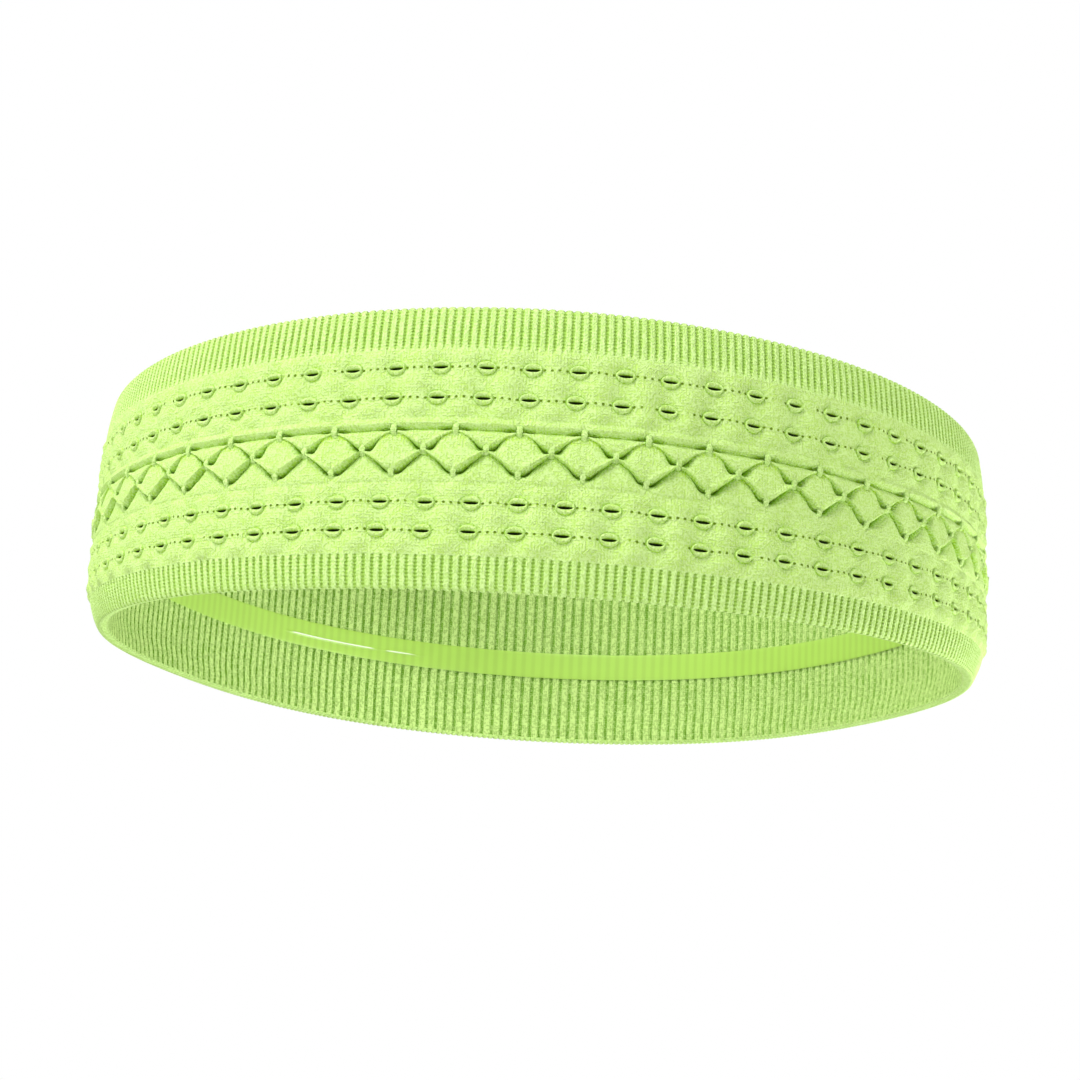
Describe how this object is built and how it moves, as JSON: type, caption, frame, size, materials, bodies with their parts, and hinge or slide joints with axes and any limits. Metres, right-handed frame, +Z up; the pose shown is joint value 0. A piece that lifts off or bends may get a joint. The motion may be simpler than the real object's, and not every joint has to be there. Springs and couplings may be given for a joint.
{
  "type": "sports headband",
  "caption": "Wide elastic knitted sports headband with ribbed hems, eyelet rows, a gathered honeycomb middle, a ribbed lining and a silicone grip strip inside.",
  "frame": {"origin": "middle of the band's box, at the level of the bottom rim", "axes": "+Z up along the band's height, -Y towards the band's front, +Y towards its back, +X to the right of someone who looks along +Y at the front"},
  "size_m": [0.1666, 0.191, 0.042],
  "materials": {
    "rib_knit": "ribbed knit, matt",
    "eyelet_knit": "fine plain knit, matt",
    "honeycomb_knit": "fine plain knit, gathered, matt",
    "lining_knit": "wide ribbed knit, brushed",
    "yarn": "twisted yarn",
    "elastic": "covered elastic yarn",
    "silicone": "smooth clear silicone, glossy"
  },
  "bodies": {
    "root": {"top_rib_hem": "rib_knit", "upper_eyelet_panel": "eyelet_knit", "honeycomb_panel": "honeycomb_knit", "lower_eyelet_panel": "eyelet_knit", "bottom_rib_hem": "rib_knit", "inner_rib_lining": "lining_knit", "silicone_grip_strip": "silicone", "smocking_thread_upper": "yarn", "smocking_thread_middle": "yarn", "smocking_thread_lower": "yarn", "top_hem_elastic": "elastic", "bottom_hem_elastic": "elastic", "lining_link_stitch": "yarn"}
  },
  "joints": []
}
